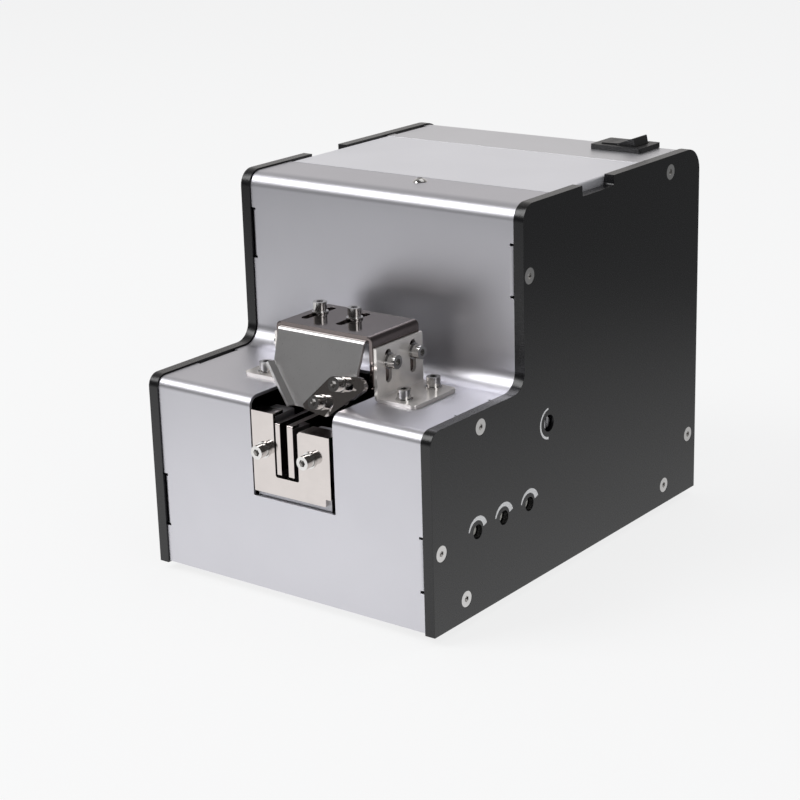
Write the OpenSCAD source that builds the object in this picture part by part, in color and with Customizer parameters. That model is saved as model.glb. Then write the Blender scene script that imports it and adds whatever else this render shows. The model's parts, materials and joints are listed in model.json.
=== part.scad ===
// Automatic screw feeder: a bench-top bin of small screws with a rotating drum, a pair of
// vibrating rails and an adjustable pick-up front.
// X runs across the width, +Y to the back and +Z up. The origin is at the middle of the
// overall footprint, on the surface that the rubber feet stand on.

/* [Body] */
// Overall width across the two side plates
body_w = 123; // [118:1:140]
// Depth of the side plates, front edge to back edge
body_d = 172; // [170:1:190]
// Height of the side plates
body_h = 134; // [130:1:150]
// Depth of the low front step
step_d = 54; // [52:1:58]
// Height of the low front step
step_h = 70.5; // [70:0.5:74]
// Thickness of each side plate
plate_t = 4; // [3:0.5:4.5]
// Thickness of the folded cover sheets
sheet = 1.2; // [1:0.1:1.5]
// How far the side plates stand proud of the covers
lip = 0.6; // [0.3:0.1:1]

/* [Front pocket] */
// Left edge of the pocket in the front cover
pocket_x0 = -15; // [-16:0.5:-14]
// Right edge of the pocket in the front cover
pocket_x1 = 21; // [20:0.5:22]
// Height of the pocket's lower edge
pocket_z = 34.5; // [33:0.5:36]
// How far the pocket runs back in the step top
pocket_d = 46; // [44:1:48]

/* [Hood] */
// Left face of the hood
hood_x0 = -16.5; // [-17:0.5:-16]
// Width of the hood
hood_w = 41.3; // [40:0.1:42]
// Front edge of the hood
hood_y0 = 18.4; // [18:0.2:19]
// Depth of the hood
hood_d = 26; // [24:0.5:27]
// Height of the hood's top face
hood_z = 92.4; // [90:0.2:94]
// Tilt of the guard plate, its lower end leaning forward
guard_tilt = 15; // [10:1:18]

/* [Feed] */
// Outer radius of the feed drum
drum_r = 38; // [37:0.5:38.5]
// Teeth on the drum's ring gear
drum_teeth = 80; // [80:1:80]
// Teeth on the motor pinion
pinion_teeth = 16; // [16:1:16]
// Height of the rail tops
rail_z = 62.2; // [61.5:0.1:63]
// Gap between the two rails
rail_gap = 3.2; // [2.5:0.1:3.4]

/* [Details] */
// Height of the rubber feet below the side plates
foot_drop = 3; // [2:0.5:4]
// Clearance between parts that slide on each other
slip = 0.1; // [0.06:0.01:0.12]
// Radial clearance of screws in their threads and of shafts in their bearings
fit = 0.02; // [0.01:0.01:0.05]

/* [Hidden] */
$fn = 48;

in_x = body_w / 2 - plate_t;         // inner face of a side plate
cover_x = in_x - slip;               // half width of the covers
low_r = 4.5;                         // bend of the low step
inner_r = 6.5;                       // inside bend between step and upper front
top_r = 6;                           // bend at the top of the upper front
back_r = 8.5;                        // bend at the top of the back
lid_y0 = 77.6;                       // front seam of the lid
lid_y1 = 136.4;                      // rear seam of the lid
seam = 0.4;                          // gap at each seam
base_z = 4;                          // underside of the base plate
base_t = 2;
deck_z = base_z + base_t;            // top of the base plate
screw_r = 1.5;                       // M3 screws
rear_stick = 2.2;                    // how far the DC inlet stands out of the rear cover
screw_stand = 3.9;                   // how far a cap screw stands out of its seat

// Side screws, each as depth and height on the side plate
tab_screws = [[4.8, 28.2], [28, 65.1], [57.6, 109.5], [150.7, 128], [166.6, 22.8]];
base_screws = [[18.3, 7.5], [148.6, 7.5]];

// Controls on the right side plate
trimmer_y = [25.3, 40.8, 56.3];
trimmer_z = 29.2;
gate_y = 68.8;
gate_z = 54.9;

inlet_at = [-32, 28];                // the DC inlet on the back, across and up

// Drum and motor
drum_z = 66;
drum_y0 = 102.3;                     // open mouth of the drum
drum_y1 = 129.5;                     // back of the drum
gear_y0 = 122;
gear_y1 = 127;
gear_m = 1;                          // gear module
centre_gap = gear_m * (drum_teeth + pinion_teeth) / 2;
motor_angle = -40;                   // direction from the drum's axis to the motor's
motor_x = centre_gap * cos(motor_angle);
motor_z = drum_z + centre_gap * sin(motor_angle);
wall_y = 131;                        // front face of the bulkhead
wall_t = 2;
wall_x = cover_x - base_t - slip;     // half width of the bulkhead, between the base's flanges

// Rails and vibrator
rail_mid = -0.9;
rail_y0 = 1.3;
rail_y1 = 118;
rail_low = 43.5;
rail_t = [1.9, 2.4];
leaf_y = [22, 58];
leaf_t = 0.6;
leaf_gap = 0.15;
leaf_w = 18;

// Pick-up front
hood_t = 1.3;
hood_x1 = hood_x0 + hood_w;
hood_mid = (hood_x0 + hood_x1) / 2;
hood_low = 74.5;
bracket_t = 1.3;
bracket_top = 88.5;
bracket_y0 = 18.8;
bracket_y1 = 44.5;
side_screw_y = [25.2, 38.9];
side_screw_z = 83;
foot_screw_y = [22.8, 39.3];
foot_screw_dx = 9.4;
guard_screw_x = [-10, 5.2];
guard_screw_y = 34.2;
guard_t = 1.2;
guard_top = hood_z - hood_t - slip;
stop_t = 2;
stop_screw_at = [[16.7, 15.1], [9.2, 22.3]];
locator_y = 1;

// The origin is midway between the foremost and the rearmost point
shift_y = -(body_d - lip + rear_stick + locator_y - fit - screw_stand) / 2;

// ---------- helpers ----------

function unit(v) = v / norm(v);

// An arc of radius r that rounds the corner b between the points a and c
function corner(a, b, c, r, n = 8) = r <= 0 ? [b] :
    let(u = unit(a - b), w = unit(c - b), half = acos(u * w) / 2,
        mid = b + unit(u + w) * r / sin(half),
        p = b + u * r / tan(half), q = b + w * r / tan(half),
        from = atan2(p.y - mid.y, p.x - mid.x), to = atan2(q.y - mid.y, q.x - mid.x),
        sweep = (to - from + 540) % 360 - 180)
    [for (i = [0:n]) mid + r * [cos(from + sweep * i / n), sin(from + sweep * i / n)]];

// A closed outline from points given as [x, y, corner radius]
function rounded(pts) = let(n = len(pts), flat = [for (p = pts) [p.x, p.y]])
    [for (i = [0:n - 1]) each corner(flat[(i + n - 1) % n], flat[i], flat[(i + 1) % n], pts[i].z)];

function box_points(x0, x1, y0, y1, r) = rounded([[x0, y0, r], [x1, y0, r], [x1, y1, r], [x0, y1, r]]);

// The stepped side outline, drawn d inside the side plates' edge
function step_outline(d) = rounded([[d, 0, 0], [d, step_h - d, low_r - d],
    [step_d + d, step_h - d, inner_r + d], [step_d + d, body_h - d, top_r - d],
    [body_d - d, body_h - d, back_r - d], [body_d - d, 0, 0]]);

module across(x0, x1) translate([x0, 0, 0]) rotate([90, 0, 90]) linear_extrude(x1 - x0) children();
module along(y0, y1) translate([0, y1, 0]) rotate([90, 0, 0]) linear_extrude(y1 - y0) children();
module upward(z0, z1) translate([0, 0, z0]) linear_extrude(z1 - z0) children();

module block(x0, x1, y0, y1, z0, z1) translate([x0, y0, z0]) cube([x1 - x0, y1 - y0, z1 - z0]);
module rod_x(x0, x1, y, z, r) translate([x0, y, z]) rotate([0, 90, 0]) cylinder(h = x1 - x0, r = r);
module rod_y(y0, y1, x, z, r) translate([x, y1, z]) rotate([90, 0, 0]) cylinder(h = y1 - y0, r = r);
module rod_z(z0, z1, x, y, r) translate([x, y, z0]) cylinder(h = z1 - z0, r = r);

module both_sides() {
    children();
    mirror([1, 0, 0]) children();
}

// Cap screw with a washer, its seat at the origin and its head towards +Z
module cap_screw(shank = 6, head_r = 2.4, head_h = 2.7, washer_r = 2.9, r = screw_r) {
    washer_t = 0.5;
    spring_t = 0.7;
    seat = washer_t + spring_t;
    difference() {
        union() {
            translate([0, 0, -shank]) cylinder(h = shank + seat, r = r);
            cylinder(h = washer_t, r = washer_r);
            translate([0, 0, washer_t]) cylinder(h = spring_t, r = head_r * 0.9);
            translate([0, 0, seat]) cylinder(h = head_h, r = head_r);
        }
        translate([0, 0, seat + head_h * 0.4]) cylinder(h = head_h, r = head_r * 0.55, $fn = 6);
    }
}

// Flat-head screw, its flat face at the origin and facing +Z
module flat_screw(shank = 8, head_r = 2.8, head_h = 1.6, r = screw_r) {
    difference() {
        union() {
            translate([0, 0, -head_h]) cylinder(h = head_h, r1 = r, r2 = head_r);
            translate([0, 0, -shank]) cylinder(h = shank - head_h, r = r);
        }
        translate([0, 0, -1]) cylinder(h = 2, r = 1.15, $fn = 6);
    }
}

function inv_angle(r, rb) = r <= rb ? 0 : let(t = sqrt(pow(r / rb, 2) - 1)) t * 180 / PI - atan(t);

// Involute gear outline with n teeth of module m, a tooth centred on +X
function gear_points(n, m, backlash, steps = 3) =
    let(rp = n * m / 2, rb = rp * cos(20), root = rp - 1.2 * m, tip = rp + 0.9 * m,
        half = 90 / n - backlash / rp * 45 / PI + inv_angle(rp, rb),
        radii = concat([root], [for (i = [0:steps]) max(rb, root) + (tip - max(rb, root)) * i / steps]),
        left = [for (r = radii) [r, -(half - inv_angle(r, rb))]],
        right = [for (i = [len(radii) - 1:-1:0]) [radii[i], half - inv_angle(radii[i], rb)]])
    [for (k = [0:n - 1]) for (p = concat(left, right))
        p[0] * [cos(p[1] + k * 360 / n), sin(p[1] + k * 360 / n)]];

// ---------- casing ----------

module side_plate(x0, x1, face) {
    notch_y0 = 90.4;
    notch_y1 = 111;
    notch_drop = 3.8;
    difference() {
        across(x0, x1) difference() {
            polygon(step_outline(0));
            polygon(rounded([[notch_y0, body_h + 3, 0], [notch_y0, body_h - notch_drop, 1],
                [notch_y1, body_h - notch_drop, 1], [notch_y1, body_h + 3, 0]]));
        }
        for (p = concat(tab_screws, base_screws)) {
            rod_x(x0 - 1, x1 + 1, p.x, p.y, screw_r + slip);
            translate([face, p.x, p.y]) rotate([0, face > 0 ? 90 : -90, 0])
                translate([0, 0, -1.75]) cylinder(h = 1.8, r1 = screw_r + slip, r2 = 2.95);
        }
    }
}

module side_plate_left() color([0.05, 0.05, 0.055]) side_plate(-body_w / 2, -in_x, -body_w / 2);

module side_plate_right() color([0.05, 0.05, 0.055]) difference() {
    side_plate(in_x, body_w / 2, body_w / 2);
    for (y = trimmer_y) rod_x(in_x - 1, body_w / 2 + 1, y, trimmer_z, 2.5);
    rod_x(in_x - 1, body_w / 2 + 1, gate_y, gate_z, 3);
}

module side_screws() color([0.78, 0.78, 0.8]) both_sides()
    for (p = concat(tab_screws, base_screws))
        translate([body_w / 2 - 0.1, p.x, p.y]) rotate([0, 90, 0]) flat_screw(shank = 9);

// The narrow tab at the upper front and the base plate's flanges are tapped and need no nut
module clinch_nuts() color([0.7, 0.7, 0.72]) both_sides()
    for (i = [0, 1, 3, 4]) difference() {
        inner = cover_x - sheet;
        rod_x(inner - 2, inner - fit, tab_screws[i].x, tab_screws[i].y, 2.7);
        rod_x(inner - 3, inner + 1, tab_screws[i].x, tab_screws[i].y, screw_r + fit);
    }

// A flange bent inwards from a cover's side edge: X points outwards, Y into the body, Z along it
module edge_tab(length, hole_at) {
    bend = 1.8;
    reach = 9;
    difference() {
        linear_extrude(length) union() {
            difference() {
                translate([cover_x - bend, bend]) circle(r = bend);
                translate([cover_x - bend, bend]) circle(r = bend - sheet);
                translate([cover_x - 2 * bend - 1, 0]) square([bend + 1, 2 * bend]);
                translate([cover_x - bend - 1, bend]) square([bend + 2, bend + 1]);
            }
            translate([cover_x - sheet, bend]) square([sheet, reach - bend]);
        }
        translate([cover_x - 2, hole_at.x, hole_at.y]) rotate([0, 90, 0]) cylinder(h = 3, r = screw_r + fit);
    }
}

module edge_relief(length) translate([cover_x - 1.8, -1, -0.9]) cube([3, 2.21, length + 1.8]);

// Places the children on the front faces (angle 0) or on the top faces (angle -90)
module on_face(y, z, angle) translate([0, y, z]) rotate([angle, 0, 0]) children();

module front_cover() color([0.72, 0.72, 0.73]) {
    difference() {
        across(-cover_x, cover_x) difference() {
            polygon(step_outline(lip));
            polygon(step_outline(lip + sheet));
            translate([lid_y0, -1]) square([body_d, body_h + 2]);
            translate([-1, -1]) square([3, 1.6]);
        }
        block(pocket_x0, pocket_x1, -1, pocket_d, pocket_z, step_h + 1);
        rod_z(body_h - 5, body_h + 1, 6.9, 71.2, screw_r + fit);
        for (i = [0, 1]) for (x = [hood_x0 - bracket_t - slip - foot_screw_dx + 1.3,
                hood_x1 + bracket_t + slip + foot_screw_dx - 1.3])
            rod_z(step_h - 5, step_h + 1, x, foot_screw_y[i], screw_r + fit);
        both_sides() {
            on_face(lip, 15.4, 0) edge_relief(18);
            on_face(22, step_h - lip, -90) edge_relief(18.5);
            on_face(step_d + lip, 102.6, 0) edge_relief(17);
        }
    }
    both_sides() {
        on_face(lip, 15.4, 0) edge_tab(18, [tab_screws[0].x - lip, tab_screws[0].y - 15.4]);
        on_face(22, step_h - lip, -90)
            edge_tab(18.5, [step_h - lip - tab_screws[1].y, tab_screws[1].x - 22]);
        on_face(step_d + lip, 102.6, 0)
            edge_tab(17, [tab_screws[2].x - step_d - lip, tab_screws[2].y - 102.6]);
    }
}

module top_screw() color([0.75, 0.75, 0.77]) translate([6.9, 71.2, body_h - lip]) {
    difference() {
        intersection() {
            translate([0, 0, -1.9]) sphere(r = 3.3);
            cylinder(h = 3, r = 2.7);
        }
        translate([0, 0, 0.7]) cylinder(h = 2, r = 1, $fn = 6);
    }
    translate([0, 0, -5]) cylinder(h = 5.01, r = screw_r);
}

module hopper_lid() color([0.9, 0.9, 0.91]) {
    top = body_h - lip;
    y0 = lid_y0 + seam;
    y1 = lid_y1 - seam;
    difference() {
        union() {
            block(-cover_x + 0.3, cover_x - 0.3, y0, y1, top - sheet, top);
            both_sides() block(cover_x - 0.3 - sheet, cover_x - 0.3, y0 + 0.8, y1, top - 9, top);
        }
        both_sides() translate([cover_x - 0.3 - 1, y0 - 1, top - 1]) difference() {
            cube([2, body_d, 2]);
            translate([0, -1, 0]) rotate([-90, 0, 0]) cylinder(h = body_d + 2, r = 1);
        }
    }
    difference() {
        upward(top - sheet - 4, top - sheet) polygon(box_points(-34.5, 34.5, 82, 130, 2));
        upward(top - sheet - 5, top - sheet + 1) polygon(box_points(-33.5, 33.5, 83, 129, 2));
    }
}

module rear_cover() color([0.66, 0.66, 0.67]) {
    difference() {
        across(-cover_x, cover_x) difference() {
            polygon(step_outline(lip));
            polygon(step_outline(lip + sheet));
            translate([-1, -1]) square([lid_y1 + 1, body_h + 2]);
            translate([0, -1]) square([body_d + 1, 3]);
        }
        block(28, 47.4, 151.9, 164.7, body_h - 5, body_h + 1);
        rod_y(body_d - 5, body_d + 1, inlet_at.x, inlet_at.y, 4.1);
        both_sides() {
            on_face(142, body_h - lip, -90) edge_relief(18);
            translate([0, body_d - lip, 32]) rotate([180, 0, 0]) edge_relief(18);
        }
    }
    both_sides() {
        on_face(142, body_h - lip, -90)
            edge_tab(18, [body_h - lip - tab_screws[3].y, tab_screws[3].x - 142]);
        translate([0, body_d - lip, 32]) rotate([180, 0, 0])
            edge_tab(18, [body_d - lip - tab_screws[4].x, 32 - tab_screws[4].y]);
    }
}

module base_plate() color([0.6, 0.6, 0.62]) difference() {
    union() {
        block(-cover_x, cover_x, 3, body_d - 4, base_z, deck_z);
        both_sides() for (p = base_screws)
            block(cover_x - base_t, cover_x, p.x - 9, p.x + 9, base_z, 12.5);
    }
    both_sides() for (p = base_screws) rod_x(cover_x - 3, cover_x + 1, p.x, p.y, screw_r + fit);
    both_sides() for (y = foot_y) rod_z(base_z - 1, deck_z + 1, foot_x, y, screw_r + fit);
}

foot_r = 7;
foot_x = in_x - 11.5;
foot_y = [16, body_d - 16];

module rubber_feet() color([0.06, 0.06, 0.06]) both_sides() for (y = foot_y) difference() {
    union() {
        rod_z(-foot_drop + 1, base_z - fit, foot_x, y, foot_r);
        translate([foot_x, y, -foot_drop]) cylinder(h = 1, r1 = foot_r - 1, r2 = foot_r);
    }
    rod_z(-foot_drop - 1, base_z, foot_x, y, screw_r + fit);
    rod_z(-foot_drop - 1, 0.6, foot_x, y, 3);
}

module foot_bolts() color([0.7, 0.7, 0.72]) both_sides() for (y = foot_y)
    translate([foot_x, y, 0]) {
        difference() {
            translate([0, 0, -1.6]) cylinder(h = 2.15, r = 2.7);
            translate([0, 0, -2]) cylinder(h = 1.6, r = 1.25, $fn = 6);
        }
        cylinder(h = 9, r = screw_r);
        translate([0, 0, deck_z + fit]) difference() {
            cylinder(h = 2.2, r = 3.1, $fn = 6);
            translate([0, 0, -1]) cylinder(h = 4, r = screw_r);
        }
    }

// ---------- power ----------

rocker_x = 37.7;
rocker_y = 158.3;
rocker_z = body_h - lip + 1.2;

module power_switch() color([0.04, 0.04, 0.045]) difference() {
    union() {
        upward(body_h - lip + fit, body_h - lip + 1.9)
            polygon(box_points(rocker_x - 10.7, rocker_x + 10.7, rocker_y - 7.4, rocker_y + 7.4, 0.8));
        block(rocker_x - 9.5, rocker_x + 9.5, rocker_y - 6.3, rocker_y + 6.3, body_h - 15, body_h - lip + 1);
        for (dx = [-6, 6]) block(rocker_x + dx - 0.4, rocker_x + dx + 0.4, rocker_y - 2.4, rocker_y + 2.4,
            body_h - 22, body_h - 14);
    }
    block(rocker_x - 7.7, rocker_x + 7.7, rocker_y - 4.9, rocker_y + 4.9, body_h - 9, body_h + 5);
    rod_y(rocker_y - 6, rocker_y + 6, rocker_x, rocker_z, 1 + fit);
}

// The rocker rests with its right end up and turns 22 degrees about its pin
module power_rocker() color([0.05, 0.05, 0.055])
    translate([rocker_x, 0, rocker_z]) rotate([0, -11, 0]) {
        difference() {
            along(rocker_y - 4.7, rocker_y + 4.7)
                polygon(rounded([[-7, -1.2, 0], [-7, 2.5, 0.4], [-0.5, 1.4, 0], [0.5, 1.4, 0], [7, 2.5, 0.4],
                    [7, -1.2, 0], [3, -5.5, 1], [-3, -5.5, 1]]));
            for (s = [-1, 1]) for (i = [-1:1])
                rod_y(rocker_y - 3, rocker_y + 3, s * (4.6 + i), 2.35 + i * 0.17, 0.3, $fn = 16);
        }
        rod_y(rocker_y - 5.9, rocker_y + 5.9, 0, 0, 1);
    }

module dc_inlet() color([0.04, 0.04, 0.045]) {
    back = body_d - lip;
    difference() {
        union() {
            rod_y(back - 14, back + 0.2, inlet_at.x, inlet_at.y, 4);
            rod_y(back + fit, back + rear_stick, inlet_at.x, inlet_at.y, 5.6);
            translate([inlet_at.x, back - sheet - fit, inlet_at.y]) rotate([90, 0, 0])
                cylinder(h = 2.5, r = 6, $fn = 6);
        }
        rod_y(back - 9.5, back + 5, inlet_at.x, inlet_at.y, 2.85);
    }
    rod_y(back - 10, back - 0.5, inlet_at.x, inlet_at.y, 1.05);
}

// ---------- controls ----------

board_x = 47;
board_t = 1.6;
board_y = [17, 63];
board_zz = [16, 47];

module control_board() color([0.05, 0.28, 0.14]) difference() {
    block(board_x, board_x + board_t, board_y[0], board_y[1], board_zz[0], board_zz[1]);
    for (y = [20, 60]) for (z = [19, 44]) rod_x(board_x - 1, board_x + 3, y, z, screw_r + slip);
}

module board_standoffs() color([0.75, 0.68, 0.4]) for (y = [20, 60]) for (z = [19, 44]) {
    translate([board_x + board_t + fit, y, z]) rotate([0, 90, 0])
        cylinder(h = in_x - board_x - board_t - 2 * fit, r = 2.8, $fn = 6);
    translate([board_x - fit, y, z]) rotate([0, -90, 0]) cylinder(h = 1.8, r = 2.6);
    rod_x(board_x - 1, board_x + board_t + 1, y, z, screw_r);
}

module board_parts() color([0.1, 0.1, 0.12]) {
    for (i = [0:2]) rod_x(board_x - 11, board_x - fit, 28 + i * 9, 38, 3.8);
    block(board_x - 6, board_x - fit, 24, 34, 20, 27);
    block(board_x - 8.5, board_x - fit, 38, 56, 19, 25);
    block(board_x - 2.5, board_x - fit, 39, 46, 28, 33);
}

module trimmer_bodies() color([0.1, 0.2, 0.5]) for (y = trimmer_y) difference() {
    block(board_x + board_t + fit, board_x + board_t + 4.6, y - 4.8, y + 4.8, trimmer_z - 4.8, trimmer_z + 4.8);
    rod_x(board_x + board_t + 1.2, board_x + 8, y, trimmer_z, 1.5 + 0.03);
}

module trimmer(y) color([0.85, 0.85, 0.8]) difference() {
    union() {
        rod_x(board_x + board_t + 1.3, board_x + board_t + 5, y, trimmer_z, 1.5);
        rod_x(board_x + board_t + 4.9, body_w / 2 - 2.2, y, trimmer_z, 2);
    }
    block(body_w / 2 - 3.2, body_w / 2, y - 0.35, y + 0.35, trimmer_z - 3, trimmer_z + 3);
}

module trimmer_1() trimmer(trimmer_y[0]);
module trimmer_2() trimmer(trimmer_y[1]);
module trimmer_3() trimmer(trimmer_y[2]);

gate_m = 0.5;
gate_teeth = 12;
gate_r = gate_m * gate_teeth / 2;
rack_x = [5.4, 9.4];
rack_y = gate_y - gate_r;            // the rack's pitch plane

module gate_shaft() color([0.75, 0.75, 0.77]) {
    difference() {
        rod_x(rack_x[0] + 0.2, body_w / 2 - 1.3, gate_y, gate_z, 2.2);
        block(body_w / 2 - 2.6, body_w / 2, gate_y - 0.4, gate_y + 0.4, gate_z - 3, gate_z + 3);
    }
    translate([rack_x[0] + 0.2, gate_y, gate_z]) rotate([90, 0, 90])
        linear_extrude(rack_x[1] - rack_x[0] - 0.4) polygon(gear_points(gate_teeth, gate_m, 0.12));
    rod_x(18.5, 21, gate_y, gate_z, 3.6);
}

// Gate at rest is raised; turning the shaft drops its blade to just above the rails
module gate_slide() color([0.72, 0.72, 0.74]) {
    pitch = gate_m * PI;
    rod_face = rack_y - 0.35;
    block(rack_x[0], rack_x[1], 62.6, rod_face - 0.2, 50.5, 82);
    block(-8, rack_x[1], 62.6, rod_face - 0.2, 70, 82);
    across(rack_x[0], rack_x[1]) for (i = [0:8]) {
        z = gate_z - 2.5 * pitch + i * pitch;
        polygon([[rod_face - 0.3, z - 0.58], [rod_face, z - 0.5], [rack_y + 0.35, z - 0.25],
            [rack_y + 0.35, z + 0.25], [rod_face, z + 0.5], [rod_face - 0.3, z + 0.58]]);
    }
}

module gate_guide() color([0.6, 0.6, 0.62]) {
    difference() {
        union() {
            block(-12, -8 - slip, 61.2, 73.9, 64, 90);
            block(rack_x[1] + slip, 18.4, 61.2, 73.9, 64, 90);
            block(-12, 18.4, 66.8, 73.9, 84, 90);
            block(13, 18.4, 63, 73.9, 50, 64.5);
        }
        rod_x(12, 20, gate_y, gate_z, 2.2 + 0.04);
    }
    for (x = [[-12, -5.5], [8, 18.4]]) block(x[0], x[1], 61.2, 62.5, 72, 90);
}

// ---------- hopper and drum ----------

bin_x = 37.2;
bin_t = 1.2;
rim_z = body_h - lip - sheet - slip;

function bin_outline(d) = [[74 + d, rim_z + 1], [74 + d, 41 + d], [101.5 - d, 27 + d], [101.5 - d, 109 + d],
    [134.8 - d, 127 + d], [134.8 - d, rim_z + 1]];

module hopper_bin() color([0.76, 0.76, 0.78]) {
    difference() {
        across(-bin_x, bin_x) polygon(bin_outline(0));
        across(-bin_x + bin_t, bin_x - bin_t) polygon(bin_outline(bin_t));
        rod_y(99, 103, 0, drum_z, 35);
        block(-6, 4.4, 73, 76, 42.4, 70);
        block(-bin_x - 1, bin_x + 1, 70, 140, rim_z, rim_z + 5);
    }
    difference() {
        block(-50, 50, 66, 144, rim_z - bin_t, rim_z);
        block(-bin_x + bin_t, bin_x - bin_t, 74 + bin_t, 134.8 - bin_t, rim_z - 3, rim_z + 1);
        rod_z(rim_z - 3, rim_z + 1, 6.9, 71.2, screw_r + fit);
    }
}

module feed_drum() color([0.8, 0.8, 0.82]) difference() {
    union() {
        difference() {
            rod_y(drum_y0, drum_y1, 0, drum_z, drum_r);
            rod_y(drum_y0 - 1, gear_y1, 0, drum_z, drum_r - 1.6);
        }
        for (k = [0:5]) translate([0, 0, drum_z]) rotate([0, 60 * k + 15, 0])
            block(28, drum_r - 1, drum_y0 + 2, drum_y1 - 1, -0.8, 0.8);
        difference() {
            translate([0, gear_y1, drum_z]) rotate([90, 0, 0]) rotate(motor_angle)
                linear_extrude(gear_y1 - gear_y0) polygon(gear_points(drum_teeth, gear_m, 0.2, 2));
            rod_y(gear_y0 - 1, gear_y1 + 1, 0, drum_z, drum_r - 0.8);
        }
    }
    rod_y(drum_y0, drum_y1 + 1, 0, drum_z, 4 + fit);
}

module drum_shaft() color([0.78, 0.78, 0.8]) {
    rod_y(125, 149, 0, drum_z, 4);
    rod_y(drum_y1 + fit, wall_y - 0.5, 0, drum_z, 6);
}

module drum_collar() color([0.3, 0.3, 0.32]) difference() {
    rod_y(140.2, 146, 0, drum_z, 8);
    rod_y(139, 147, 0, drum_z, 4 + fit);
    rod_z(drum_z + 3, drum_z + 9, 0, 143.1, 1.5);
}

module drum_bearing() color([0.6, 0.6, 0.64]) translate([0, wall_y + 1, drum_z]) rotate([-90, 0, 0])
    rotate_extrude() polygon([[4.03, 0], [5.6, 0], [5.9, 0.3], [9.1, 0.3], [9.4, 0], [11, 0], [11, 7],
        [9.4, 7], [9.1, 6.7], [5.9, 6.7], [5.6, 7], [4.03, 7]]);

module bulkhead() color([0.62, 0.62, 0.64]) difference() {
    union() {
        block(-wall_x, wall_x, wall_y, wall_y + wall_t, deck_z + fit, 118);
        block(-wall_x, wall_x, wall_y, wall_y + 14, deck_z + fit, deck_z + wall_t);
        rod_y(wall_y, wall_y + 9, 0, drum_z, 15);
    }
    rod_y(wall_y + 1, wall_y + 10, 0, drum_z, 11 + fit);
    rod_y(wall_y - 1, wall_y + 3, 0, drum_z, 7);
    rod_y(wall_y - 1, wall_y + 3, motor_x, motor_z, 6);
    for (a = [0, 180]) rod_y(wall_y - 1, wall_y + 3, motor_x + 8.5 * cos(a), motor_z, screw_r + slip);
    block(-50, -30, wall_y - 1, wall_y + 3, 14, 34);
}

module gear_motor() color([0.55, 0.55, 0.57]) difference() {
    union() {
        rod_y(wall_y + wall_t + fit, wall_y + 14, motor_x, motor_z, 12.5);
        rod_y(wall_y + 14, wall_y + 36, motor_x, motor_z, 12);
        rod_y(wall_y + 0.2, wall_y + wall_t + 1, motor_x, motor_z, 5.5);
        for (dx = [-4, 4]) block(motor_x + dx - 1, motor_x + dx + 1, wall_y + 35, wall_y + 38.8,
            motor_z - 0.3, motor_z + 0.3);
    }
    rod_y(wall_y - 1, wall_y + 8, motor_x, motor_z, 2.04);
    for (a = [0, 180])
        rod_y(wall_y, wall_y + 8, motor_x + 8.5 * cos(a), motor_z, screw_r + fit);
}

module motor_screws() color([0.75, 0.75, 0.77]) for (a = [0, 180])
    translate([motor_x + 8.5 * cos(a), wall_y - fit, motor_z]) rotate([90, 0, 0])
        cap_screw(shank = 6, head_r = 2.2, head_h = 1.6, washer_r = 2.4);

module motor_shaft() color([0.75, 0.75, 0.77]) rod_y(gear_y0 - 1, wall_y + 7.5, motor_x, motor_z, 2);

module motor_pinion() color([0.8, 0.68, 0.35]) difference() {
    translate([motor_x, gear_y1 + 0.5, motor_z]) rotate([90, 0, 0]) rotate(motor_angle + 180 + 180 / pinion_teeth)
        linear_extrude(gear_y1 - gear_y0 + 1) polygon(gear_points(pinion_teeth, gear_m, 0.2));
    rod_y(gear_y0 - 2, gear_y1 + 2, motor_x, motor_z, 2 + fit);
}

// ---------- rails and vibrator ----------

rail_in = [rail_mid - rail_gap / 2, rail_mid + rail_gap / 2];

module rail(x0, x1) difference() {
    across(x0, x1) polygon(rounded([[rail_y0, rail_low, 0.5], [rail_y0, rail_z, 0.5], [rail_y1, rail_z + 2.2, 1],
        [rail_y1, rail_low + 8, 2], [66, rail_low, 2]]));
    for (y = [30, 52]) rod_x(x0 - 1, x1 + 1, y, 47.5, screw_r + fit);
}

module rail_left() color([0.8, 0.78, 0.76]) rail(rail_in[0] - rail_t[0], rail_in[0]);
module rail_right() color([0.8, 0.78, 0.76]) rail(rail_in[1], rail_in[1] + rail_t[1]);

module rail_carrier() color([0.7, 0.7, 0.72]) difference() {
    union() {
        block(-11, 9.5, 18.6, 61.4, 36, rail_low - fit);
        block(-11, rail_in[0] - rail_t[0] - fit, 24, 58, 36, 52);
        block(rail_in[1] + rail_t[1] + fit, 9.5, 24, 58, 36, 52);
        block(-10, 8, leaf_y[0] + leaf_t / 2 + leaf_gap, 28, 29, 37);
        block(-10, 8, 52, leaf_y[1] - leaf_t / 2 - leaf_gap, 29, 37);
    }
    for (y = [30, 52]) rod_x(-12, 12, y, 47.5, screw_r + fit);
    for (x = [-6, 4]) rod_y(15, 65, x, 32.5, 1.25 + fit);
}

module rail_screws() color([0.75, 0.75, 0.77]) for (y = [30, 52]) {
    translate([9.5 + fit, y, 47.5]) rotate([0, 90, 0]) cap_screw(shank = 7.9, washer_r = 2.7);
    translate([-11 - fit, y, 47.5]) rotate([0, -90, 0]) cap_screw(shank = 8.1, washer_r = 2.7);
}

module leaf_spring(y) color([0.35, 0.38, 0.45])
    block(-1 - leaf_w / 2, -1 + leaf_w / 2, y - leaf_t / 2, y + leaf_t / 2, 8, 35.5);
module leaf_spring_front() leaf_spring(leaf_y[0]);
module leaf_spring_rear() leaf_spring(leaf_y[1]);

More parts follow.
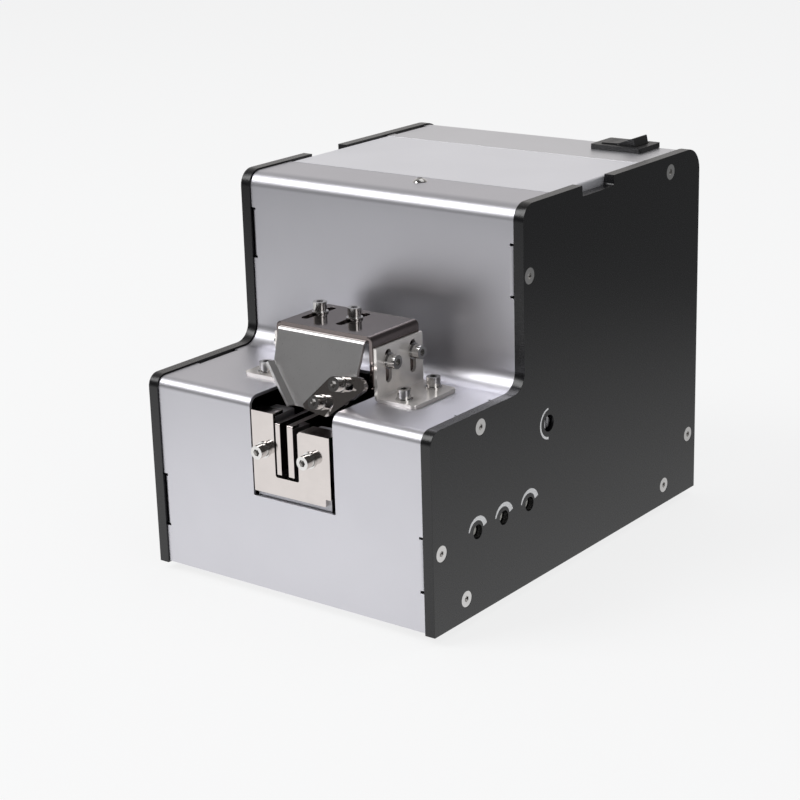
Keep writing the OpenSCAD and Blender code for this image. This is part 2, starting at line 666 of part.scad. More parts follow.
// Clamp plates outside the two leaves, held by screws that pass beside the blade
module leaf_clamps(z, y_gap) {
    t = 2.2;
    for (s = [0, 1]) {
        out = s == 0 ? leaf_y[0] - leaf_t / 2 - y_gap : leaf_y[1] + leaf_t / 2 + y_gap;
        edge = s == 0 ? out - t : out;
        block(-1 - leaf_w / 2, -1 + leaf_w / 2, edge, edge + t, z - 2.6, z + 2.6);
        for (x = [-6, 4]) translate([x, s == 0 ? edge : edge + t, z]) rotate([s == 0 ? 90 : -90, 0, 0])
            difference() {
                translate([0, 0, -0.01]) cylinder(h = 1.5, r = 2.1);
                translate([0, 0, 0.6]) cylinder(h = 2, r = 1, $fn = 6);
            }
    }
}

module spring_clamps_lower() color([0.5, 0.5, 0.53]) leaf_clamps(11, leaf_gap);
module spring_clamps_upper() color([0.5, 0.5, 0.53]) leaf_clamps(32.5, leaf_gap);

module vibrator_base() color([0.45, 0.45, 0.48]) union() {
    block(-14, 12, leaf_y[0] + leaf_t / 2 + leaf_gap, leaf_y[1] - leaf_t / 2 - leaf_gap, deck_z + fit, 8);
    block(-10, 8, leaf_y[0] + leaf_t / 2 + leaf_gap, 27, deck_z + fit, 14);
    block(-10, 8, 53, leaf_y[1] - leaf_t / 2 - leaf_gap, deck_z + fit, 14);
    block(-8, 6, 34, 51, deck_z + fit, 12.4);
}

module magnet_core() color([0.4, 0.38, 0.36]) {
    block(-7, 5, 47, 50, 12.4 + fit, 31);
    for (z = [[12.4 + fit, 16.4], [19.5, 24.5], [27.2, 31]]) block(-7, 5, 33.7, 47.5, z[0], z[1]);
}

module magnet_coil() color([0.72, 0.36, 0.14]) difference() {
    block(-10.5, 8.5, 36, 46.9, 16.5, 27.1);
    block(-7 - fit, 5 + fit, 35, 48, 19.5 - fit, 24.5 + fit);
}

module armature() color([0.42, 0.4, 0.4]) block(-7, 5, 29, 32.5, 13.5, 36 - fit);

module sweep_brush() color([0.12, 0.1, 0.08]) {
    block(-12, 12, 75.3, 79, 84, 92);
    for (i = [0:10]) block(-5.6 + i * 0.95, -5.1 + i * 0.95, 76.4, 77.8, 66.5, 84.1);
}

// ---------- pick-up front ----------

slot_x = [-5, 5.3];
slot_z = 42.8;
locator_x = [-14.7, 19];

module locator_plate() color([0.82, 0.79, 0.77]) difference() {
    union() {
        along(locator_y, locator_y + sheet) polygon(rounded([[locator_x[0], 36.3, 0.4], [16.7, 36.3, 0.4],
            [16.7, 39, 0], [locator_x[1], 39, 0.4], [locator_x[1], 61, 0], [slot_x[1] + 0.9, 61, 0],
            [slot_x[1], 60, 0], [slot_x[1], slot_z, 0.8], [slot_x[0], slot_z, 0.8], [slot_x[0], 65.4, 0],
            [locator_x[0], 65.4, 0]]));
        block(locator_x[0], slot_x[0] - 0.3, locator_y, 6.6, 65.4 - sheet, 65.4);
        block(slot_x[1] + 0.9, locator_x[1], locator_y, 8.6, 61 - sheet, 61);
    }
    for (x = [-9.8, 10.3]) rod_y(0, 4, x, 51.8, screw_r + slip);
}

module locator_block() color([0.3, 0.3, 0.31]) difference() {
    union() {
        block(-14, 18.3, locator_y + sheet + fit, 13.5, deck_z + fit, 59.6);
        block(-14, slot_x[0] - 1, locator_y + sheet + fit, 13.5, 59, 64);
        block(-14, 18.3, locator_y + sheet + fit, 16.5, deck_z + fit, 11);
    }
    block(slot_x[0] - 0.6, slot_x[1] + 0.4, 0, 20, 41, 70);
    for (x = [-9.8, 10.3]) rod_y(0, 12, x, 51.8, screw_r + fit);
}

module locator_screws() color([0.8, 0.8, 0.82]) for (x = [-9.8, 10.3])
    translate([x, locator_y - fit, 51.8]) rotate([90, 0, 0]) cap_screw(shank = 9);

module hood() color([0.8, 0.79, 0.78]) difference() {
    along(hood_y0, hood_y0 + hood_d) difference() {
        polygon(rounded([[hood_x0, hood_low, 0.4], [hood_x1, hood_low, 0.4], [hood_x1, hood_z, 2],
            [hood_x0, hood_z, 2]]));
        polygon(rounded([[hood_x0 + hood_t, hood_low - 2, 0], [hood_x1 - hood_t, hood_low - 2, 0],
            [hood_x1 - hood_t, hood_z - hood_t, 0.7], [hood_x0 + hood_t, hood_z - hood_t, 0.7]]));
    }
    for (x = guard_screw_x) upward(hood_z - 3, hood_z + 1)
        polygon(box_points(x - 1.65, x + 1.65, 24.9, 41.8, 1.6));
    for (y = side_screw_y) rod_x(hood_x0 - 1, hood_x1 + 1, y, side_screw_z, screw_r + fit);
}

module hood_side_screws() color([0.8, 0.8, 0.82]) for (y = side_screw_y) {
    translate([hood_x1 + bracket_t + 2 * slip, y, side_screw_z]) rotate([0, 90, 0])
        cap_screw(shank = bracket_t + hood_t + 2);
    translate([hood_x0 - bracket_t - 2 * slip, y, side_screw_z]) rotate([0, -90, 0])
        cap_screw(shank = bracket_t + hood_t + 2);
}

// L bracket for the hood's right side, its upright against the hood's wall
module bracket() {
    seat = step_h - lip + fit;
    x0 = hood_x1 + slip;
    reach = 16.6;
    difference() {
        along(bracket_y0, bracket_y1)
            polygon(rounded([[x0, seat, 1.8], [x0 + reach, seat, 0], [x0 + reach, seat + bracket_t, 0],
                [x0 + bracket_t, seat + bracket_t, 0.6], [x0 + bracket_t, bracket_top, 0.3],
                [x0, bracket_top, 0.3]]));
        upward(seat - 1, seat + 3) difference() {
            translate([x0 + 4, 10]) square([20, 40]);
            polygon(rounded([[x0 - 5, bracket_y0, 0], [x0 + reach, bracket_y0, 2],
                [x0 + reach, bracket_y1 - 1.5, 2], [x0 - 5, bracket_y1, 0]]));
        }
        for (y = side_screw_y) across(x0 - 1, x0 + 3)
            polygon(box_points(y - 1.65, y + 1.65, 75.4, 87, 1.6));
        for (y = foot_screw_y) rod_z(seat - 1, seat + 3, x0 + bracket_t + foot_screw_dx - 1.3, y, screw_r + slip);
    }
}

module bracket_right() color([0.8, 0.79, 0.78]) bracket();
module bracket_left() color([0.8, 0.79, 0.78])
    translate([2 * hood_mid, 0, 0]) mirror([1, 0, 0]) bracket();

module bracket_screws() color([0.8, 0.8, 0.82]) for (y = foot_screw_y)
    for (x = [hood_x0 - bracket_t - slip - foot_screw_dx + 1.3, hood_x1 + bracket_t + slip + foot_screw_dx - 1.3])
        translate([x, y, step_h - lip + bracket_t + 2 * fit]) cap_screw(shank = 5);

// The guard's own plane: X across, Y down along the tilted plate, Z out of its front
module guard_frame() translate([0, hood_y0 - 0.1, guard_top - 0.6]) rotate([-90 - guard_tilt, 0, 0])
    mirror([0, 0, 1]) children();

lip_top = [-14.7, 11.6];
lip_low = [-3.2, 25];
lip_bend = 75;
lip_d = 2.9;

// Side profile of the bent guard: its flange under the hood, then the tilted plate
function guard_profile() = let(foot = [hood_y0 - 0.1, guard_top - 0.6],
    down = [-sin(guard_tilt), -cos(guard_tilt)], out = [-cos(guard_tilt), sin(guard_tilt)],
    face = foot + out * guard_t, inner = foot + down * (guard_t - 0.6) / cos(guard_tilt),
    outer = face + down * (face.y - guard_top) / cos(guard_tilt),
    low = foot + down * 30, low_face = face + down * 30)
    rounded([[39, guard_top - guard_t, 0], [inner.x, inner.y, 0.5], [low.x, low.y, 0],
        [low_face.x, low_face.y, 0], [outer.x, outer.y, 1.6], [39, guard_top, 0]]);

module guard_plate() color([0.62, 0.62, 0.63]) difference() {
    union() {
        intersection() {
            across(lip_top.x, hood_x1 - hood_t - 0.5) polygon(guard_profile());
            guard_frame() translate([0, 0, -30]) linear_extrude(40) guard_outline();
        }
        guard_lip();
    }
    for (x = guard_screw_x) rod_z(guard_top - 3, guard_top + 1, x, guard_screw_y, screw_r + fit);
    for (p = stop_screw_at) guard_frame() translate([p.x, p.y, -1]) cylinder(h = 4, r = 1.25 + fit);
}

// Outline of the guard in its own plane, cut off along the lip's slanting edge
module guard_outline() {
    beyond = lip_top + (lip_top - lip_low) * 0.5;
    polygon(rounded([[beyond.x, -9, 0], [hood_x1 - hood_t, -9, 0], [21, 13, 2], [9.5, 25.6, 3],
        [lip_low.x, 25.4, 0], [lip_low.x, lip_low.y, 0], [beyond.x, beyond.y, 0]]));
}

// Lip along the guard's slanting edge, bent forward out of its face
module guard_lip() {
    run = lip_low - lip_top;
    rise = [cos(lip_bend), sin(lip_bend)];
    tip = [0, guard_t] + rise * lip_d;
    back = guard_t * tan(lip_bend / 2);
    heel = tip + [rise.y, -rise.x] * guard_t;
    guard_frame() translate([lip_top.x, lip_top.y, 0]) rotate(atan2(run.y, run.x))
        rotate([90, 0, 90]) linear_extrude(norm(run))
            polygon(rounded([[-0.6, 0, 0], [back, 0, 1.2], [heel.x, heel.y, 0.2], [tip.x, tip.y, 0.2],
                [0, guard_t, 0], [-0.6, guard_t, 0]]));
}

module guard_screws() color([0.8, 0.8, 0.82]) for (x = guard_screw_x)
    translate([x, guard_screw_y, hood_z + slip]) cap_screw(shank = hood_t + 3.2);

module stop_plate() color([0.5, 0.49, 0.48]) guard_frame() translate([0, 0, guard_t + slip]) difference() {
    linear_extrude(stop_t) difference() {
        polygon(rounded([[1.4, 24.4, 1.1], [12, 13, 4], [24.4, 11.4, 3], [27.4, 14.8, 2], [12.6, 26.8, 2.5],
            [2.6, 25.6, 1]]));
        for (p = stop_screw_at) polygon(box_points(p.x - 1.5, p.x + 5.3, p.y - 1.4, p.y + 1.4, 1.2));
    }
}

module stop_screws() color([0.8, 0.8, 0.82]) for (p = stop_screw_at)
    guard_frame() translate([p.x, p.y, guard_t + stop_t + 2 * slip])
        cap_screw(shank = stop_t + guard_t + 0.6, r = 1.25, washer_r = 2.7);

// ---------- assembly ----------

module place() translate([0, shift_y, foot_drop]) children();

place() {
    side_plate_left();
    side_plate_right();
    side_screws();
    clinch_nuts();
    front_cover();
    top_screw();
    hopper_lid();
    rear_cover();
    base_plate();
    rubber_feet();
    foot_bolts();
    power_switch();
    power_rocker();
    dc_inlet();
    control_board();
    board_standoffs();
    board_parts();
    trimmer_bodies();
    trimmer_1();
    trimmer_2();
    trimmer_3();
    gate_shaft();
    gate_slide();
    gate_guide();
    hopper_bin();
    feed_drum();
    drum_shaft();
    drum_collar();
    drum_bearing();
    bulkhead();
    gear_motor();
    motor_screws();
    motor_shaft();
    motor_pinion();
    rail_left();
    rail_right();
    rail_carrier();
    rail_screws();
    leaf_spring_front();
    leaf_spring_rear();
    spring_clamps_lower();
    spring_clamps_upper();
    vibrator_base();
    magnet_core();
    magnet_coil();
    armature();
    sweep_brush();
    locator_plate();
    locator_block();
    locator_screws();
    hood();
    hood_side_screws();
    bracket_left();
    bracket_right();
    bracket_screws();
    guard_plate();
    guard_screws();
    stop_plate();
    stop_screws();
}
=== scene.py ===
import json
import math

import bmesh
import bpy
from mathutils import Matrix, Vector


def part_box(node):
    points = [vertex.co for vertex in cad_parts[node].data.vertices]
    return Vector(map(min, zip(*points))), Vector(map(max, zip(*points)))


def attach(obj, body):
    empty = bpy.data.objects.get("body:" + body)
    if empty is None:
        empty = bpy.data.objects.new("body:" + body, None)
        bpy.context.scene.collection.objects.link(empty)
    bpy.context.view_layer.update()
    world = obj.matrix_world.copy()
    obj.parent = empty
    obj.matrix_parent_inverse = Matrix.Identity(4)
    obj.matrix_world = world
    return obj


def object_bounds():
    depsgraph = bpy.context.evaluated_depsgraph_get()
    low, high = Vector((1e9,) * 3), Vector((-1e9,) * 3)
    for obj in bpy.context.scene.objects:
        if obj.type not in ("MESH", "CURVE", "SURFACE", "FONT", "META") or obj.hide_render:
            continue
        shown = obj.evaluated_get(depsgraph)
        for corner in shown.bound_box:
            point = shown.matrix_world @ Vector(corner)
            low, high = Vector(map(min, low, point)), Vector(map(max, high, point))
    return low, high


MM = 0.001

# Rounded edges: the nodes, the width in millimetres and the number of steps
EDGES = (
    (("side_plate_left", "side_plate_right"), 0.45, 3),
    (("front_cover", "hopper_lid", "rear_cover"), 0.12, 2),
    (("hood", "bracket_left", "bracket_right"), 0.14, 2),
    (("guard_plate", "stop_plate", "locator_plate"), 0.14, 2),
    (("power_switch", "power_rocker"), 0.25, 2),
)
WELD_MM = 0.004
SHARP_DEG = 38
NORMAL_WEIGHT = 80

# Printed arcs: outer radius, start and stop angle in degrees, width at the start and at the stop. Millimetres
TRIMMER_ARC = (5.5, 167, 18, 0.6, 2.2)
GATE_ARC = (5.7, 95, 265, 0.6, 0.9)
FILM_MM = 0.05
ARC_STEPS = 40

# Finishes: how rough a clear coat is, the noise of the broad patches and of the fine grain (detail, roughness),
# how much of the grain darkens the tone, and the part of its range that sets the roughness
COAT_ROUGHNESS = 0.2
PATCH_NOISE = (2.0, 0.55)
GRAIN_NOISE = (4.0, 0.6)
GRAIN_SHARE = 0.35
GRAIN_SPAN = (0.25, 0.75)

# Camera: the angles are azimuth, elevation and roll in degrees
SENSOR_MM = 36
LENS_MM = 90.51
LENS_SHIFT = (0.0284, -0.0037)
NEAREST_M = 0.01
CAMERA_ANGLES = (38.13, 17.67, -1.85)
CAMERA_PLACE = (0.42041, -0.569, 0.27835)

# Lamps: name, place, size and watts. All of them aim at AIM
LAMPS = (
    ("key", (-0.9, -1.0, 1.3), (1.0, 1.0), 16),
    ("fill", (1.5, -0.5, 0.35), (0.7, 0.7), 3),
    ("top", (0.1, 0.5, 1.6), (1.2, 1.0), 3),
)
AIM = (0, 0, 0.07)

# Room: light that falls on the part, and the wall that metal reflects, which is dimmer than the white that the
# eye sees. A span is level at the start, level at the stop, start, stop
AMBIENT = 0.45
AMBIENT_COLOUR = (0.95, 0.97, 1.0, 1)
WALL_COLOUR = (1.0, 0.975, 0.96, 1)
WALL_TOWARD = (-0.62, 0.78, 0)
WALL_SPAN = (0.07, 0.68, 0.2, 0.85)

# Floor: a grey sheet with a glow over it for rays that see it, brightest in metal near LIT_SPOT
FLOOR_HALF_M = 6.0
FLOOR_GAP_MM = 0.02
FLOOR_COLOUR = (0.82, 0.82, 0.82, 1)
FLOOR_GLOW = 0.8
LIT_SPOT = (-0.05, -0.2, 0)
FLOOR_SPAN = (1.2, 0.08, 0.08, 0.62)

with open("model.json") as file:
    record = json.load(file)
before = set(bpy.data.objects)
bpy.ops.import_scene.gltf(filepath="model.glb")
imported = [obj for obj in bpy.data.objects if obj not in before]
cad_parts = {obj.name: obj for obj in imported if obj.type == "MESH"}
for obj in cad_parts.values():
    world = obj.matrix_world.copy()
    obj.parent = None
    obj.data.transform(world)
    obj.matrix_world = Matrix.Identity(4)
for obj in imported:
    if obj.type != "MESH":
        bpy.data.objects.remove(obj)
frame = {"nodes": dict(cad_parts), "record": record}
nodes = frame["nodes"]
cad_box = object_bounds()
slot_of = {p["node"]: p["material_slot"] for p in frame["record"]["subparts"]}


# ---------- node helpers ----------

class Tree:
    """A small wrapper that adds and links shader nodes."""

    def __init__(self, tree):
        self.tree = tree
        tree.nodes.clear()

    def add(self, kind, **values):
        node = self.tree.nodes.new(kind)
        for key, value in values.items():
            setattr(node, key, value)
        return node

    def link(self, source, target):
        self.tree.links.new(source, target)

    def coords(self, stretch=(1, 1, 1)):
        """The object's own coordinates, in millimetres, so that a finish stays on a moving part."""
        place = self.add("ShaderNodeTexCoord")
        scale = self.add("ShaderNodeMapping")
        scale.inputs["Scale"].default_value = [1000 * s for s in stretch]
        self.link(place.outputs["Object"], scale.inputs["Vector"])
        return scale.outputs["Vector"]

    def noise(self, vector, scale, detail, rough):
        node = self.add("ShaderNodeTexNoise")
        node.inputs["Scale"].default_value = scale
        node.inputs["Detail"].default_value = detail
        node.inputs["Roughness"].default_value = rough
        self.link(vector, node.inputs["Vector"])
        return node.outputs["Fac"]

    def spread(self, value, low, high, start=0.3, stop=0.7):
        """Maps start..stop to low..high and holds the ends."""
        node = self.add("ShaderNodeMapRange")
        node.inputs["From Min"].default_value = start
        node.inputs["From Max"].default_value = stop
        node.inputs["To Min"].default_value = low
        node.inputs["To Max"].default_value = high
        self.link(value, node.inputs["Value"])
        return node.outputs["Result"]

    def blend(self, fac, a, b):
        node = self.add("ShaderNodeMix", data_type="RGBA")
        self.link(fac, node.inputs["Factor"])
        for socket, value in (("A", a), ("B", b)):
            target = [i for i in node.inputs if i.name == socket and i.type == "RGBA"][0]
            if isinstance(value, bpy.types.NodeSocket):
                self.link(value, target)
            else:
                target.default_value = (*value, 1)
        return [o for o in node.outputs if o.type == "RGBA"][0]

    def bump(self, height, strength, depth_mm):
        node = self.add("ShaderNodeBump")
        node.inputs["Strength"].default_value = strength
        node.inputs["Distance"].default_value = depth_mm * MM
        self.link(height, node.inputs["Height"])
        return node.outputs["Normal"]


def put(name, data):
    """A new object in the scene."""
    obj = bpy.data.objects.new(name, data)
    bpy.context.scene.collection.objects.link(obj)
    return obj


def shade(colour, k):
    return tuple(min(1.0, c * k) for c in colour)


def finish(name, colour, metallic=0.0, rough=(0.4, 0.5), vary=0.06, patch=0.05, grain=4.0, stretch=(1, 1, 1),
           bump=0.2, depth=0.02, coat=0.0, specular=0.5):
    """A surface with broad tone patches and a fine grain in colour, roughness and height, all in real size.

    patch and grain are in features per millimetre, depth in millimetres."""
    made = bpy.data.materials.new(name)
    made.use_nodes = True
    t = Tree(made.node_tree)
    out = t.add("ShaderNodeOutputMaterial")
    skin = t.add("ShaderNodeBsdfPrincipled")
    t.link(skin.outputs["BSDF"], out.inputs["Surface"])
    skin.inputs["Metallic"].default_value = metallic
    skin.inputs["Specular IOR Level"].default_value = specular
    skin.inputs["Coat Weight"].default_value = coat
    skin.inputs["Coat Roughness"].default_value = COAT_ROUGHNESS
    wide = t.noise(t.coords(), patch, *PATCH_NOISE)
    fine = t.noise(t.coords(stretch), grain, *GRAIN_NOISE)
    tone = t.blend(t.spread(wide, 0, 1), shade(colour, 1 - vary), shade(colour, 1 + vary))
    tone = t.blend(t.spread(fine, 0, GRAIN_SHARE), tone, shade(colour, 1 - 2 * vary))
    t.link(tone, skin.inputs["Base Color"])
    t.link(t.spread(fine, *rough, *GRAIN_SPAN), skin.inputs["Roughness"])
    t.link(t.bump(fine, bump, depth), skin.inputs["Normal"])
    return made


# ---------- finishes ----------

looks = {
    "side_plate": finish("black_coat", (0.003, 0.003, 0.004), rough=(0.24, 0.33), grain=3.2, bump=0.25,
                         depth=0.02, specular=0.55),
    "cover": finish("blasted_aluminium", (0.655, 0.65, 0.69), 1.0, (0.36, 0.46), 0.02, 0.03, 5.0, bump=0.3,
                    depth=0.012),
    "lid": finish("bright_satin", (0.93, 0.93, 0.97), 0.75, (0.42, 0.52), 0.02, 0.03, 5.0, bump=0.25,
                  depth=0.012),
    "rear_cover": finish("rear_satin", (0.78, 0.78, 0.81), 1.0, (0.36, 0.46), 0.02, 0.03, 5.0, bump=0.3,
                         depth=0.012),
    "polished_steel": finish("polished_steel", (0.64, 0.595, 0.575), 1.0, (0.07, 0.14), 0.03, 0.12, 1.2,
                             (0.3, 3, 3), 0.06, 0.006),
    "guard_steel": finish("satin_steel", (0.84, 0.83, 0.83), 1.0, (0.26, 0.36), 0.04, 0.06, 3.0, (3, 0.3, 0.3),
                          0.15, 0.008),
    "screw_steel": finish("nickel", (0.7, 0.69, 0.68), 1.0, (0.1, 0.22), 0.05, 0.4, 3.0, bump=0.1, depth=0.01),
    "zinc_steel": finish("zinc_plate", (0.55, 0.56, 0.58), 1.0, (0.28, 0.42), 0.08, 0.15, 1.5, bump=0.15,
                         depth=0.01),
    "inner_steel": finish("milled_steel", (0.6, 0.6, 0.62), 1.0, (0.2, 0.34), 0.05, 0.1, 2.0, (0.3, 3, 3), 0.15,
                          0.01),
    "spring_steel": finish("blued_steel", (0.2, 0.24, 0.32), 1.0, (0.25, 0.35), 0.12, 0.12, 2.0, bump=0.1,
                           depth=0.005),
    "cast_aluminium": finish("milled_aluminium", (0.45, 0.45, 0.47), 1.0, (0.35, 0.5), 0.06, 0.1, 1.6,
                             bump=0.25, depth=0.02),
    "black_plastic": finish("black_plastic", (0.012, 0.012, 0.013), rough=(0.32, 0.42), grain=2.5, bump=0.2,
                            depth=0.02),
    "rubber": finish("rubber", (0.016, 0.016, 0.016), rough=(0.65, 0.85), grain=2.0, bump=0.4, depth=0.03,
                     specular=0.3),
    "board": finish("solder_mask", (0.01, 0.09, 0.035), rough=(0.25, 0.4), vary=0.15, patch=0.3, grain=1.5,
                    bump=0.2, depth=0.02, coat=0.4),
    "trimmer_blue": finish("blue_moulding", (0.02, 0.07, 0.3), rough=(0.3, 0.42), grain=2.0, bump=0.15,
                           depth=0.02),
    "trimmer_white": finish("white_moulding", (0.62, 0.61, 0.56), rough=(0.4, 0.55), grain=2.0, bump=0.15,
                            depth=0.02),
    "brass": finish("brass", (0.66, 0.46, 0.18), 1.0, (0.18, 0.3), 0.06, 0.2, 2.0, bump=0.12, depth=0.01),
    "copper": finish("enamelled_copper", (0.5, 0.17, 0.06), 1.0, (0.22, 0.34), 0.1, 0.3, 3.0, (0.3, 0.3, 4),
                     0.4, 0.05, coat=0.5),
    "laminated_iron": finish("laminations", (0.16, 0.14, 0.13), 1.0, (0.4, 0.55), 0.15, 0.2, 2.5, (0.2, 6, 0.2),
                             0.5, 0.04),
    "bristle": finish("bristle", (0.03, 0.025, 0.02), rough=(0.5, 0.7), vary=0.3, grain=2.0,
                      stretch=(6, 6, 0.3), bump=0.8, depth=0.15),
}
# The hood's polished steel, painted dark: a painted reflection of a dim room over its top, not a tint of its
# own
polish_painted_dark_reflection = finish("polish_painted_dark_reflection", (0.21, 0.18, 0.175), 1.0, (0.06, 0.12), 0.04, 0.12, 1.2,
                       (0.3, 3, 3), 0.06, 0.006)
# The brackets' polished nickel, painted pale and less metallic: a painted bright reflection
nickel_painted_bright_reflection = finish("nickel_painted_bright_reflection", (0.92, 0.88, 0.85), 0.6, (0.12, 0.26), 0.05, 0.2, 0.8, bump=0.08,
                       depth=0.01)
dial_white = finish("dial_white", (0.8, 0.8, 0.8), rough=(0.45, 0.6), vary=0.03, grain=3.0, bump=0.1,
                    depth=0.01)

for name, obj in nodes.items():
    obj.data.materials.clear()
    obj.data.materials.append(looks[slot_of[name]])
# The hood takes the polished steel with the painted dark reflection
nodes["hood"].data.materials[0] = polish_painted_dark_reflection
# The brackets take the nickel with the painted bright reflection
for name in ("bracket_left", "bracket_right"):
    nodes[name].data.materials[0] = nickel_painted_bright_reflection


# ---------- broken edges ----------

def soften(name, width_mm, steps):
    """Rounds the sharp edges of a CAD node's shown surface, leaving its mesh as packed."""
    obj = nodes[name]
    weld = obj.modifiers.new("weld", "WELD")
    weld.merge_threshold = WELD_MM * MM
    bevel = obj.modifiers.new("bevel", "BEVEL")
    bevel.width = width_mm * MM
    bevel.segments = steps
    bevel.limit_method = "ANGLE"
    bevel.angle_limit = math.radians(SHARP_DEG)
    bevel.use_clamp_overlap = True
    even = obj.modifiers.new("even", "WEIGHTED_NORMAL")
    even.keep_sharp = False
    even.weight = NORMAL_WEIGHT


for names, width_mm, steps in EDGES:
    for name in names:
        soften(name, width_mm, steps)


# ---------- printed arcs round the controls ----------

def crescent(name, centre, radius, start, stop, thin, thick):
    """A printed arc on the right plate that grows from thin to thick. Its angles run from +Y towards +Z."""
    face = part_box("side_plate_right")[1].x
    film = FILM_MM * MM
    mesh = bpy.data.meshes.new(name)
    bm = bmesh.new()
    rows = []
    for i in range(ARC_STEPS + 1):
        share = i / ARC_STEPS
        angle = math.radians(start + (stop - start) * share)
        width = (thin + (thick - thin) * share) * MM
        along = Vector((0, math.cos(angle), math.sin(angle)))
        middle = Vector((0, centre.y, centre.z))
        outer = middle + along * radius * MM
        inner = middle + along * (radius * MM - width)
        rows.append([bm.verts.new(p + Vector((x, 0, 0))) for p, x in
                     ((outer, face), (outer, face + film), (inner, face + film), (inner, face))])
    for a, b in zip(rows, rows[1:]):
        for k in range(4):
            bm.faces.new((a[k], b[k], b[(k + 1) % 4], a[(k + 1) % 4]))
    bm.faces.new(rows[0])
    bm.faces.new(list(reversed(rows[-1])))
    bmesh.ops.recalc_face_normals(bm, faces=bm.faces)
    bm.to_mesh(mesh)
    bm.free()
    obj = put(name, mesh)
    mesh.materials.append(dial_white)
    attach(obj, "casing")


def middle_of(name):
    low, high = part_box(name)
    return (low + high) / 2


for i in (1, 2, 3):
    crescent(f"dial_arc_{i}", middle_of(f"trimmer_{i}"), *TRIMMER_ARC)
crescent("gate_arc", middle_of("gate_shaft"), *GATE_ARC)


# ---------- stage ----------

def camera():
    data = bpy.data.cameras.new("camera")
    data.sensor_width = SENSOR_MM
    data.lens = LENS_MM
    data.shift_x, data.shift_y = LENS_SHIFT
    data.clip_start = NEAREST_M
    obj = put("camera", data)
    azimuth, elevation, roll = (math.radians(a) for a in CAMERA_ANGLES)
    back = Vector((math.sin(azimuth) * math.cos(elevation), -math.cos(azimuth) * math.cos(elevation),
                   math.sin(elevation)))
    level = Vector((math.cos(azimuth), math.sin(azimuth), 0))
    upward = back.cross(level)
    right = level * math.cos(roll) + upward * math.sin(roll)
    up = upward * math.cos(roll) - level * math.sin(roll)
    turn = Matrix((right, up, back)).transposed().to_4x4()
    obj.matrix_world = Matrix.Translation(CAMERA_PLACE) @ turn
    bpy.context.scene.camera = obj


def lamp(name, place, size, power):
    data = bpy.data.lights.new(name, "AREA")
    data.shape = "RECTANGLE"
    data.size, data.size_y = size
    data.energy = power
    obj = put(name, data)
    obj.location = place
    obj.rotation_euler = (Vector(AIM) - Vector(place)).to_track_quat("-Z", "Y").to_euler()


def seen_rays(t):
    """1 for rays that see the background straight, in a mirror or through glass."""
    path = t.add("ShaderNodeLightPath")
    first = t.add("ShaderNodeMath", operation="MAXIMUM")
    t.link(path.outputs["Is Camera Ray"], first.inputs[0])
    t.link(path.outputs["Is Glossy Ray"], first.inputs[1])
    second = t.add("ShaderNodeMath", operation="MAXIMUM")
    t.link(first.outputs[0], second.inputs[0])
    t.link(path.outputs["Is Transmission Ray"], second.inputs[1])
    return second.outputs[0]


def in_metal(t, level):
    """The level for rays that were reflected, and 1 for all others."""
    path = t.add("ShaderNodeLightPath")
    pick = t.add("ShaderNodeMix", data_type="FLOAT")
    pick.inputs[2].default_value = 1.0
    t.link(path.outputs["Is Glossy Ray"], pick.inputs[0])
    t.link(level, pick.inputs[3])
    return pick.outputs[0]


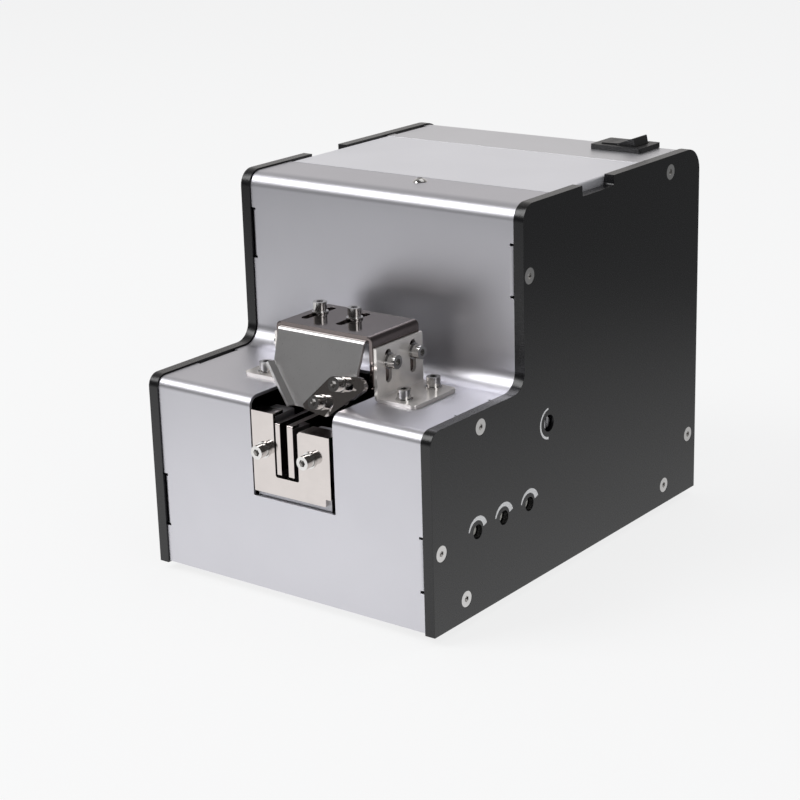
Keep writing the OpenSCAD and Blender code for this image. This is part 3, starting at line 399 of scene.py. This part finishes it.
def room():
    world = bpy.data.worlds.new("room")
    bpy.context.scene.world = world
    world.use_nodes = True
    t = Tree(world.node_tree)
    out = t.add("ShaderNodeOutputWorld")
    mix = t.add("ShaderNodeMixShader")
    soft = t.add("ShaderNodeBackground")
    soft.inputs["Color"].default_value = AMBIENT_COLOUR
    soft.inputs["Strength"].default_value = AMBIENT
    bright = t.add("ShaderNodeBackground")
    t.link(wall_level(t), bright.inputs["Strength"])
    bright.inputs["Color"].default_value = WALL_COLOUR
    t.link(seen_rays(t), mix.inputs["Fac"])
    t.link(soft.outputs[0], mix.inputs[1])
    t.link(bright.outputs[0], mix.inputs[2])
    t.link(mix.outputs[0], out.inputs["Surface"])


def wall_level(t):
    """1 where the room is seen straight or through glass. In metal, a pale wall behind on the left, and a dim
    room elsewhere, so that bends and polished plates have something to reflect."""
    place = t.add("ShaderNodeTexCoord")
    toward = t.add("ShaderNodeVectorMath", operation="DOT_PRODUCT")
    toward.inputs[1].default_value = WALL_TOWARD
    t.link(place.outputs["Generated"], toward.inputs[0])
    level = t.spread(toward.outputs["Value"], *WALL_SPAN)
    return in_metal(t, level)


def floor_level(t):
    """The floor is white to the eye; in metal it dims away from the lit patch round the object."""
    place = t.add("ShaderNodeTexCoord")
    reach = t.add("ShaderNodeVectorMath", operation="DISTANCE")
    reach.inputs[1].default_value = LIT_SPOT
    t.link(place.outputs["Object"], reach.inputs[0])
    level = t.spread(reach.outputs["Value"], *FLOOR_SPAN)
    return in_metal(t, level)


def floor():
    mesh = bpy.data.meshes.new("floor")
    half = FLOOR_HALF_M
    corners = [(-half, -half, 0), (half, -half, 0), (half, half, 0), (-half, half, 0)]
    mesh.from_pydata(corners, [], [(0, 1, 2, 3)])
    obj = put("floor", mesh)
    obj.location.z = cad_box[0].z - FLOOR_GAP_MM * MM
    made = bpy.data.materials.new("floor")
    made.use_nodes = True
    t = Tree(made.node_tree)
    out = t.add("ShaderNodeOutputMaterial")
    matt = t.add("ShaderNodeBsdfDiffuse")
    matt.inputs["Color"].default_value = FLOOR_COLOUR
    glow = t.add("ShaderNodeEmission")
    t.link(floor_level(t), glow.inputs["Strength"])
    mix = t.add("ShaderNodeMixShader")
    part = t.add("ShaderNodeMath", operation="MULTIPLY")
    part.inputs[1].default_value = FLOOR_GLOW
    t.link(seen_rays(t), part.inputs[0])
    t.link(part.outputs[0], mix.inputs["Fac"])
    t.link(matt.outputs[0], mix.inputs[1])
    t.link(glow.outputs[0], mix.inputs[2])
    t.link(mix.outputs[0], out.inputs["Surface"])
    mesh.materials.append(made)


camera()
for row in LAMPS:
    lamp(*row)
room()
floor()
bpy.context.scene.view_settings.view_transform = "Standard"
